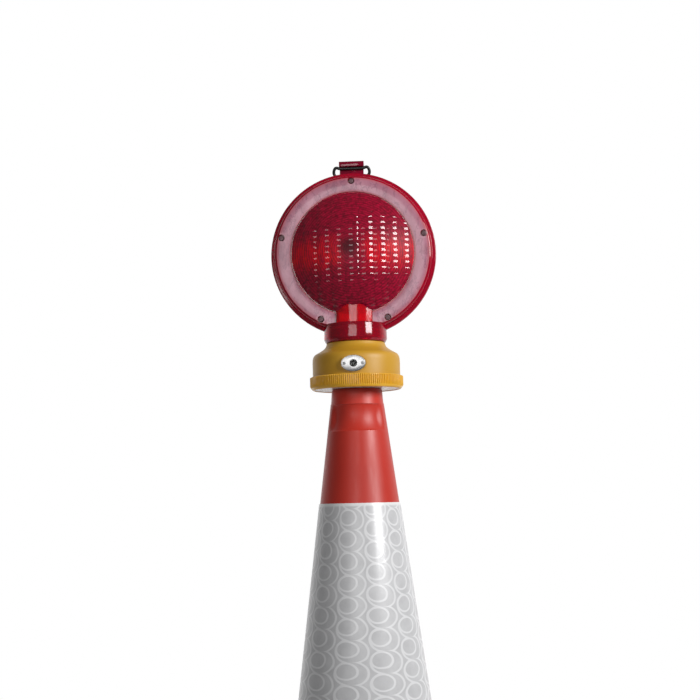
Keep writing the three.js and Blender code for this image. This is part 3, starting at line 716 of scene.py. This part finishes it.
def make_base():
    low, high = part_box("cone_base")
    half = (high.x - low.x) / 2 / MM
    size = BASE
    shoulder = size["top"] - size["bevel"]
    wide = base_outline(half, size["corner"], 0)
    slab = prism("rubber_base", wide, size["foot"], shoulder, GROUND_AT)
    narrow = base_outline(half, size["corner"], size["bevel"])
    combine(slab, prism("tool", narrow, shoulder - 1, size["top"], GROUND_AT), "UNION")
    softened(slab, 3.0, 3, 25)
    collar_top = size["top"] + size["collar"]
    collar_r = cone_r(size["top"]) + 14
    collar = rounded([
        (0, 20),
        (collar_r, 20),
        (collar_r, size["top"], 2),
        (cone_r(collar_top) + 8, collar_top, 3),
        (0, collar_top),
    ])
    combine(slab, lathe("tool", collar, GROUND_AT), "UNION")
    add_feet(slab, half)
    gap = size["gap"]
    seat_r, seat_top = CONE_FLANGE["r"] + 1, CONE_FLANGE["high"] + 0.3
    through = [
        (0, -1),
        (seat_r, -1),
        (seat_r, seat_top),
        (cone_r(CONE_FLANGE["high"]) + gap, seat_top),
        (cone_r(collar_top + 5) + gap, collar_top + 5),
        (0, collar_top + 5),
    ]
    combine(slab, lathe("tool", through, GROUND_AT))
    smooth(slab, 40)
    finished(slab, "cone", MATERIALS["base_rubber"], "base_rubber", "cone_base")


def make_sleeve():
    low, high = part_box("reflective_sleeve")
    bottom, top = low.z / MM, high.z / MM
    gap, thickness = 0.3, 0.8
    outline = rounded([
        (cone_r(bottom) + gap, bottom),
        (cone_r(bottom) + gap + thickness, bottom, 0.3),
        (cone_r(top) + gap + thickness, top, 0.3),
        (cone_r(top) + gap, top),
    ])
    obj = lathe("film_sleeve", outline, GROUND_AT, segments=WIDE_ROUND, sharp=60)
    finished(obj, "cone", MATERIALS["reflective_film"], "reflective_film", "reflective_sleeve")


# ---- the lamp's case -------------------------------------


def ellipse(half_x, half_y, count=64):
    turns = [2 * math.pi * i / count for i in range(count)]
    return [(half_x * math.cos(turn), half_y * math.sin(turn)) for turn in turns]


def front_oval(name, half_x, half_z, near, far):
    """An oval slab on the front of the case, between two distances off the lamp's axis."""
    place = LAMP_AT @ Matrix.Translation((0, 0, BEZEL["z"] * MM))
    return prism(name, ellipse(half_x, half_z), near, far, place, FACING_FRONT)


def front_drill(r, near, far, x=0.0):
    """A round tool pointing out of the case's front, at the height of the bezel."""
    place = LAMP_AT @ Matrix.Translation((x * MM, 0, BEZEL["z"] * MM))
    return rod("tool", r, near, far, place, FACING_FRONT)


def make_case():
    size, spigot = CASE, SPIGOT
    neck_top, ceiling = size["neck_top"], size["neck_top"] - size["wall"]
    outside = [
        (size["r"] - size["wall"], size["bottom"], 0.4),
        (size["r"], size["bottom"], 0.6),
        (size["r"], 36.9, 7.0),
        (41.8, 41.3, 3.0),
        (36.6, 44.7, 3.0),
        (34.2, 47.6, 1.8),
        (33.2, neck_top, 0.4),
        (spigot["groove_r"], neck_top),
        (spigot["groove_r"], spigot["groove_top"]),
        (spigot["r"], spigot["groove_top"], 0.3),
        (spigot["r"], spigot["top"], 0.5),
    ]
    inside = [
        (spigot["inner_r"], spigot["top"], 0.3),
        (spigot["inner_r"], neck_top),
        (size["throat_r"], neck_top),
        (size["throat_r"], ceiling),
        (31, ceiling),
        (33.5, 43.5),
        (39.5, 39.3),
        (44.5, 36.2),
        (47, 31),
    ]
    obj = lathe("lamp_case", rounded(outside + inside, 6), LAMP_AT, segments=WIDE_ROUND)
    seat_x, seat_z = BEZEL["half_x"] + 1.2, BEZEL["half_z"] + 1.2
    combine(obj, front_oval("tool", seat_x, seat_z, 48.2, BOSS_FACE), "UNION")
    combine(obj, front_drill(size["window_r"], 40, BOSS_FACE + 1))
    smooth(obj, 40)
    finished(obj, "lamp_base", MATERIALS["case_yellow"], "case_yellow", "battery_case")


def make_ring():
    size = RING
    core = size["r"] - size["rib"]
    rib_low, rib_high = size["low"] + 2.2, size["high"] - 0.9

    def ribs(r, z, angle):
        """The ring's radius with its ribs, which fade in from their lower end."""
        if r < core - 0.01 or not rib_low < z < rib_high:
            return r
        wave = math.cos(angle * size["ribs"])
        return core + size["rib"] * min(0.94, (z - rib_low) / 2) * smoothstep(0.35 + wave * 1.1)

    outline = rounded([
        (size["lip_r"], size["low"], 0.3),
        (size["r"] - 2.6, size["low"], 1.6),
        (core, rib_low),
    ])
    heights = (rib_low + 0.05, rib_low + 1.0, rib_low + 1.9, (rib_low + rib_high) / 2, rib_high - 0.05)
    outline += [(core + 0.001, z) for z in heights]
    outline += rounded([
        (core, rib_high),
        (core - 0.2, size["high"], 1.4),
        (size["inner_r"], size["high"], 0.2),
        (size["inner_r"], size["low"] + 1),
        (size["lip_r"], size["low"] + 1, 0.2),
    ])
    segments = size["ribs"] * 10
    obj = lathe("ribbed_ring", outline, LAMP_AT, segments=segments, shape=ribs, sharp=50)
    finished(obj, "locking_ring", RING_YELLOW_LIT, "case_yellow", "locking_ring")


def make_bezel():
    near = BOSS_FACE + 0.1
    far = near + BEZEL["thickness"]
    plate = front_oval("oval_bezel", BEZEL["half_x"], BEZEL["half_z"], near, far)
    softened(plate, 0.25, 3)
    combine(plate, front_drill(BEZEL["window_r"], near - 1, near + 4))
    for side in (-1, 1):
        combine(plate, front_drill(BEZEL["hole_r"], near - 1, near + 3, side * BEZEL["screw_x"]))
    smooth(plate, 35)
    finished(plate, "lamp_base", MATERIALS["bright_metal"], "bright_metal", "photocell_bezel")


def screw_mesh(name, size, place, local):
    """A pan-headed cross screw pointing down -Z, the seat of its head at z = 0."""
    head_r, head = size["head_r"], size["head"]
    r, length = size["shank_r"], size["length"]
    outline = rounded([
        (0, -length),
        (r * 0.4, -length),
        (r, r - length),
        (r, 0),
        (head_r, 0, 0.2),
        (head_r, head, head * 0.7),
        (0, head),
    ])
    screw = lathe(name, outline, place, local, FINE_ROUND)
    reach, half = head_r * 0.58, head_r * 0.11
    low, high = (-reach, -half, head * 0.4), (reach, half, head + 1)
    for turn in (45, 135):
        turned = local @ Matrix.Rotation(math.radians(turn), 4, "Z")
        combine(screw, box("tool", low, high, place, turned))
    smooth(screw, 40)
    return screw


def make_case_screws():
    face = BOSS_FACE + BEZEL["thickness"] + 0.2
    for i, side in enumerate((-1, 1), start=1):
        node = f"bezel_screw_{i}"
        seat = Vector((side * BEZEL["screw_x"], -face, BEZEL["z"])) * MM
        place = LAMP_AT @ Matrix.Translation(seat)
        screw = screw_mesh(f"fine_{node}", BEZEL_SCREW, place, FACING_FRONT)
        finished(screw, "lamp_base", MATERIALS["screw_steel"], "screw_steel", node)


# ---- the lamp's head -------------------------------------


def arc(centre, r, start, end, steps):
    """Points on a circle in a plane, from one angle to another in degrees."""
    turns = [math.radians(start + (end - start) * i / steps) for i in range(steps + 1)]
    return [(centre[0] + r * math.cos(turn), centre[1] + r * math.sin(turn)) for turn in turns]


def neck_outline(grow=0.0):
    """The neck seen from above: a shallow arc in front and behind, and flat sides."""
    half_x, r = NECK["half_x"] + grow, NECK["arc_r"] + grow
    centre = NECK["arc_r"] - NECK["front"]
    half = math.degrees(math.asin(half_x / r))
    front = arc((0, centre), r, -90 - half, -90 + half, 16)
    return front + [(-x, -y) for x, y in front]


def on_screw_circle(angle):
    """Where a lens screw stands, its angle in degrees from the top of the head."""
    turn = Matrix.Rotation(math.radians(angle), 4, "Y")
    return turn @ Matrix.Translation((0, 0, SCREW_CIRCLE["r"])) @ FACING_FRONT


def collar_hollow():
    """The room inside the collar and neck, a tool to cut with."""
    size = COLLAR
    low, high, floor = size["low"], size["high"], size["floor"]
    outline = [
        (0, low - 1),
        (size["seal_r"], low - 1),
        (size["seal_r"], low + 2),
        (size["lip_r"], low + 2),
        (size["lip_r"], low + 5),
        (size["bore_r"], low + 5),
        (size["bore_r"], floor),
        (NECK["hole_r"], floor),
        (NECK["hole_r"], high + 1),
        (0, high + 1),
    ]
    hollow = lathe("tool", outline, LAMP_AT, segments=TOOL_ROUND)
    bore = prism("tool", neck_outline(-NECK["wall"]), high, NECK["top"] + 1, LAMP_AT)
    return combine(hollow, bore, "UNION")


def front_half(target):
    """Cuts a piece back to the front of the parting plane."""
    reach = 130
    combine(target, box("tool", (-reach, -PARTING, -reach), (reach, reach, reach), HEAD_AT))


def make_flange():
    """The rim and flat flange of one lens shell, with its screw bosses, facing the front."""
    s, screw = SHELL, SCREW_CIRCLE
    outline = rounded([
        (s["side_r"] - s["wall"], PARTING),
        (s["rim_r"], PARTING, 0.5),
        (s["rim_r"], s["rim"], 1.2),
        (s["side_r"] + 0.5, s["rim"] + 0.2, 0.6),
        (s["side_r"] - 0.2, s["face"] - 1.6, 1.2),
        (s["flange_r"], s["face"], 0.8),
        (s["lens_r"] - s["wall"], s["face"]),
        (s["lens_r"] - s["wall"], s["face"] - s["wall"]),
        (s["side_r"] - s["wall"], s["face"] - s["wall"]),
    ])
    flange = lathe("front_flange", outline, HEAD_AT, FACING_FRONT, WIDE_ROUND)
    for angle in screw["angles"]:
        local = on_screw_circle(angle)
        combine(flange, rod("tool", screw["boss_r"], PARTING, s["face"] - 1, HEAD_AT, local), "UNION")
        combine(flange, rod("tool", screw["recess_r"], s["face"] - 2.4, s["face"] + 2, HEAD_AT, local))
        combine(flange, rod("tool", screw["hole_r"], 0, s["face"], HEAD_AT, local))
    combine(flange, collar_hollow())
    smooth(flange, 40)
    return flange


def head_plug():
    """The head's outside, a little inside the real surface: a tool that cuts the neck back to it."""
    s = SHELL
    lens_r, face = s["lens_r"] - 0.2, s["face"] - 0.2
    lower = DOME_RISE - 1.0
    outline = [
        (0, -1),
        (s["side_r"] - 0.6, -1),
        (s["side_r"] - 0.6, s["face"] - 1.7),
        (s["flange_r"], face),
        (lens_r, face),
    ]
    for r in (lens_r, 60, 50, 40, 30, 20, 10, 0):
        outline.append((r, lower + math.sqrt(DOME["r"] ** 2 - r * r)))
    return lathe("tool", outline, HEAD_AT, FACING_FRONT, TOOL_ROUND)


def make_neck():
    """The front half of the neck and of the round collar below it."""
    size = COLLAR
    neck = prism("front_neck", neck_outline(), size["high"] - 1, NECK["top"], LAMP_AT)
    softened(neck, 1.0, 3, 30)
    combine(neck, head_plug())
    outline = rounded([
        (0, size["low"]),
        (size["r"] - 1.9, size["low"], 0.8),
        (size["r"], size["low"] + 3.8, 1.0),
        (size["r"] - 0.4, size["high"], 1.6),
        (0, size["high"]),
    ])
    combine(neck, lathe("tool", outline, LAMP_AT), "UNION")
    combine(neck, collar_hollow())
    front_half(neck)
    smooth(neck, 40)
    return neck


def pillow(x, z):
    """Height of the moulded pillows at a point on the lens, in rows and columns from its centre."""
    u = (x / PILLOW["width"] + 0.5) % 1 * 2 - 1
    v = (z / PILLOW["height"] + 1 / 3) % 1 * 2 - 1
    return -PILLOW["rise_x"] * u * u - PILLOW["rise_z"] * v * v


def make_dome():
    """The lens dome: a shell whose face is moulded in pillows, trimmed to a circle."""
    lens_r = SHELL["lens_r"]
    step_x = PILLOW["width"] / PILLOW["per_x"]
    step_z = PILLOW["height"] / PILLOW["per_z"]
    count_x = int(lens_r / step_x) + 2
    count_z = int(lens_r / step_z) + 2
    verts, top, bottom = [], {}, {}
    for i in range(-count_x, count_x + 1):
        for j in range(-count_z, count_z + 1):
            x, z = i * step_x, j * step_z
            height = DOME_RISE + math.sqrt(max(DOME["r"] ** 2 - x * x - z * z, 1))
            top[i, j] = len(verts)
            verts.append((x, -z, height + pillow(x, z)))
            bottom[i, j] = len(verts)
            verts.append((x, -z, height - DOME["wall"]))
    faces = []
    for i in range(-count_x, count_x):
        for j in range(-count_z, count_z):
            corners = ((i, j), (i + 1, j), (i + 1, j + 1), (i, j + 1))
            faces.append(tuple(top[c] for c in corners))
            faces.append(tuple(bottom[c] for c in reversed(corners)))
    edge = [(i, -count_z) for i in range(-count_x, count_x)]
    edge += [(count_x, j) for j in range(-count_z, count_z)]
    edge += [(i, count_z) for i in range(count_x, -count_x, -1)]
    edge += [(-count_x, j) for j in range(count_z, -count_z, -1)]
    for a, b in zip(edge, edge[1:] + edge[:1]):
        faces.append((top[a], top[b], bottom[b], bottom[a]))
    dome = new_object("front_dome", verts, faces, HEAD_AT, FACING_FRONT)
    trim = rod("tool", lens_r, -20, 80, HEAD_AT, FACING_FRONT, ROUND)
    combine(dome, trim, "INTERSECT")
    smooth(dome, 14)
    return dome


def turned_copy(obj, name):
    """The same piece on the rear of the head."""
    copy = obj.copy()
    copy.data = obj.data.copy()
    copy.data.transform(HALF_TURN)
    copy.name = name
    bpy.context.scene.collection.objects.link(copy)
    return copy


def make_reflector(name, screwed):
    """The flat reflective ring round the lens, with holes for the screws on the side they enter."""
    s = SHELL
    near = s["face"] + 0.3
    far = near + 0.7
    inner_r, outer_r = s["lens_r"] + 1.4, s["flange_r"] - 0.6
    outline = rounded([(inner_r, near), (outer_r, near), (outer_r, far, 0.3), (inner_r, far, 0.3)], 2)
    ring = lathe(name, outline, HEAD_AT, FACING_FRONT, WIDE_ROUND)
    combine(ring, prism("tool", neck_outline(0.5), COLLAR["low"], NECK["top"], LAMP_AT))
    collar_r, collar_top = COLLAR["r"] + 0.5, COLLAR["high"] + 0.3
    combine(ring, rod("tool", collar_r, COLLAR["low"], collar_top, LAMP_AT, segments=ROUND))
    if screwed:
        hole_r = SCREW_CIRCLE["recess_r"] + 0.2
        for angle in SCREW_CIRCLE["angles"]:
            local = on_screw_circle(angle)
            combine(ring, rod("tool", hole_r, s["face"] - 1, s["face"] + 3, HEAD_AT, local))
    smooth(ring, 40)
    return ring


def make_bracket():
    """The post on top of the head that holds the bail: a foot, a stem, a cap and a small rib."""
    size = BRACKET
    pivot_y, pivot_z = BAIL["pivot_y"], BAIL["pivot_z"]
    half_x, cap_half, block = size["half_x"], size["cap_half_x"], size["block"]
    cap_low, cap_high = size["cap_low"], size["cap_high"]
    foot = box("bail_bracket", (-half_x, 3.2, 84), (half_x, pivot_y + 3.6, block), HEAD_AT)
    stem = ((-half_x, 5.7, 90), (half_x, 9.8, cap_low + 1))
    cap = ((-cap_half, 0.6, cap_low), (cap_half, 10.6, cap_high))
    rib = ((-0.8, 4.4, block - 1), (0.8, 6, block + 1.6))
    for low, high in (stem, cap, rib):
        combine(foot, box("tool", low, high, HEAD_AT), "UNION")
    softened(foot, 0.5, 2)
    inner = rod("tool", SHELL["side_r"] - 0.4, -30, 0, HEAD_AT, FACING_FRONT, WIDE_ROUND)
    combine(foot, inner)
    sideways = Matrix.Rotation(math.pi / 2, 4, "Y")
    for side in (-1, 1):
        local = Matrix.Translation((side * (half_x - 1.5), pivot_y, pivot_z)) @ sideways
        combine(foot, rod("tool", 2.1, -3, 3, HEAD_AT, local))
    smooth(foot, 40)
    return foot


def make_head():
    reds = {"flange": MATERIALS["lens_red"], "neck": NECK_RED, "dome": LENS_DOME}
    front = {"flange": make_flange(), "neck": make_neck(), "dome": make_dome()}
    rear = {key: turned_copy(obj, f"rear_{key}") for key, obj in front.items()}
    for shell, node in ((front, "front_lens"), (rear, "rear_lens")):
        for key, obj in shell.items():
            finished(obj, "head", reds[key], "lens_red", node)
    finished(make_bracket(), "head", BRACKET_RED, "lens_red", "rear_lens")
    lilac = MATERIALS["reflector_lilac"]
    finished(make_reflector("front_reflex", True), "head", lilac, "reflector_lilac", "front_reflector")
    rear_ring = make_reflector("rear_reflex", False)
    rear_ring.data.transform(HALF_TURN)
    finished(rear_ring, "head", lilac, "reflector_lilac", "rear_reflector")
    seat = Matrix.Translation((0, 0, SHELL["face"] - LENS_SCREW["sunk"]))
    for i, angle in enumerate(SCREW_CIRCLE["angles"], start=1):
        local = on_screw_circle(angle) @ seat
        screw = screw_mesh(f"fine_lens_screw_{i}", LENS_SCREW, HEAD_AT, local)
        finished(screw, "head", MATERIALS["lens_screw"], "lens_screw", f"lens_screw_{i}")


def make_bail():
    """The wire loop, a round bar swept along its path."""
    size = BAIL
    pivot = Vector((0, size["pivot_y"], size["pivot_z"]))
    bar = Vector((0, size["bar_y"], size["bar_z"]))
    # One half of the path: distance out from the middle, and share of the way from pivot to bar.
    side = (
        (9.6, 0),
        (13, 0),
        (17, 0.05),
        (size["half"] - 0.3, 0.35),
        (size["half"], 0.72),
        (19.3, 1.08),
        (16.9, 1.14),
        (14, 1),
        (8, 1),
    )

    def point(sign, x, up):
        return Vector((sign * x, 0, 0)) + pivot + (bar - pivot) * up

    points = [point(-1, *p) for p in side] + [point(1, *p) for p in reversed(side)]
    curve = bpy.data.curves.new("bail_path", "CURVE")
    curve.dimensions = "3D"
    curve.bevel_depth = size["r"] * MM
    curve.bevel_resolution = 5
    curve.use_fill_caps = True
    spline = curve.splines.new("NURBS")
    spline.points.add(len(points) - 1)
    for control, where in zip(spline.points, points):
        control.co = (*(HEAD_AT @ (where * MM)), 1)
    spline.use_endpoint_u = True
    spline.order_u = 3
    spline.resolution_u = 8
    path = bpy.data.objects.new("bail_path", curve)
    bpy.context.scene.collection.objects.link(path)
    graph = bpy.context.evaluated_depsgraph_get()
    mesh = bpy.data.meshes.new_from_object(path.evaluated_get(graph))
    bpy.data.objects.remove(path)
    clean(mesh)
    bail = bpy.data.objects.new("bail_wire", mesh)
    bpy.context.scene.collection.objects.link(bail)
    smooth(bail, 50)
    finished(bail, "bail", MATERIALS["black_wire"], "black_wire", "wire_bail")


# ---- studio, in metres and degrees -----------------------

CAMERA = {
    "distance": 1.730,
    "azimuth": 3.5,
    "height": 0.7712,
    "lens": 78.0,
    "pitch": 5.76,
    "pan": 0.223,
    "roll": 1.43,
}
WORLD = {"front": 0.14, "back": 1.0, "from_y": 0.1, "to_y": 0.8}
FLOOR = {"half_width": 2.0, "front": -0.35, "back": 3.4}
LIGHTS = {
    "key": {"azimuth": 54, "distance": 2.0, "rise": 0.56, "size": (0.88, 0.75), "power": 44},
    "front_panel": {"azimuth": -6.4, "distance": 2.4, "rise": 0.26, "size": (1.26, 0.62), "power": 10.8},
}


def from_axis(azimuth, distance, z):
    """A point round the object's axis; azimuth 0 is straight in front, 90 to its right."""
    a = math.radians(azimuth)
    return Vector((math.sin(a) * distance, -math.cos(a) * distance, z))


def make_camera():
    data = bpy.data.cameras.new("camera")
    data.sensor_width = 36.0
    data.lens = CAMERA["lens"]
    data.clip_end = 50
    camera = bpy.data.objects.new("camera", data)
    bpy.context.scene.collection.objects.link(camera)
    camera.location = from_axis(CAMERA["azimuth"], CAMERA["distance"], CAMERA["height"])
    heading = Matrix.Rotation(math.radians(CAMERA["azimuth"] + CAMERA["pan"]), 4, "Z")
    pitch = Matrix.Rotation(math.radians(90 + CAMERA["pitch"]), 4, "X")
    roll = Matrix.Rotation(math.radians(-CAMERA["roll"]), 4, "Z")
    camera.rotation_euler = (heading @ pitch @ roll).to_euler()
    bpy.context.scene.camera = camera


def make_light(name, azimuth, distance, rise, size, power):
    """A rectangular light aimed at the lens, its rise measured from there."""
    data = bpy.data.lights.new(name, "AREA")
    data.shape = "RECTANGLE"
    data.size, data.size_y = size
    data.energy = power
    light = bpy.data.objects.new(name, data)
    bpy.context.scene.collection.objects.link(light)
    light.location = from_axis(azimuth, distance, LENS_Z + rise)
    light.visible_camera = False
    aim = Vector((0, 0, LENS_Z)) - light.location
    light.rotation_euler = aim.to_track_quat("-Z", "Y").to_euler()


def make_world():
    """A dim room in front of the object and a white one behind it, always white to the camera."""
    world = bpy.data.worlds.new("studio")
    world.use_nodes = True
    nodes, links = world.node_tree.nodes, world.node_tree.links
    coordinates = nodes.new("ShaderNodeTexCoord")
    split = nodes.new("ShaderNodeSeparateXYZ")
    links.new(coordinates.outputs["Generated"], split.inputs[0])
    depth = nodes.new("ShaderNodeMapRange")
    depth.interpolation_type = "SMOOTHSTEP"
    depth.inputs["From Min"].default_value = WORLD["from_y"]
    depth.inputs["From Max"].default_value = WORLD["to_y"]
    depth.inputs["To Min"].default_value = WORLD["front"]
    depth.inputs["To Max"].default_value = WORLD["back"]
    links.new(split.outputs["Y"], depth.inputs["Value"])
    path = nodes.new("ShaderNodeLightPath")
    seen = nodes.new("ShaderNodeMix")
    links.new(path.outputs["Is Camera Ray"], seen.inputs[0])
    links.new(depth.outputs["Result"], seen.inputs[2])
    seen.inputs[3].default_value = 1.0
    links.new(seen.outputs[0], nodes["Background"].inputs["Strength"])
    nodes["Background"].inputs["Color"].default_value = (1, 1, 1, 1)
    bpy.context.scene.world = world


def make_floor():
    mesh = bpy.data.meshes.new("floor")
    half, front, back = FLOOR["half_width"], FLOOR["front"], FLOOR["back"]
    corners = [(-half, front, 0), (half, front, 0), (half, back, 0), (-half, back, 0)]
    mesh.from_pydata(corners, [], [(0, 1, 2, 3)])
    floor = bpy.data.objects.new("floor", mesh)
    bpy.context.scene.collection.objects.link(floor)
    paper = Shader("paper", Roughness=0.9)
    paper.colour(paper.ramp(paper.noise(3), (0.3, grey(0.84)), (0.7, grey(0.88))))
    mesh.materials.append(paper.material)


def make_studio():
    make_world()
    for name, light in LIGHTS.items():
        make_light(name, **light)
    make_floor()
    bpy.context.scene.view_settings.view_transform = "Standard"


make_camera()
make_studio()
dress_frame()
make_cone()
make_base()
make_sleeve()
make_case()
make_ring()
make_bezel()
make_case_screws()
make_head()
make_bail()
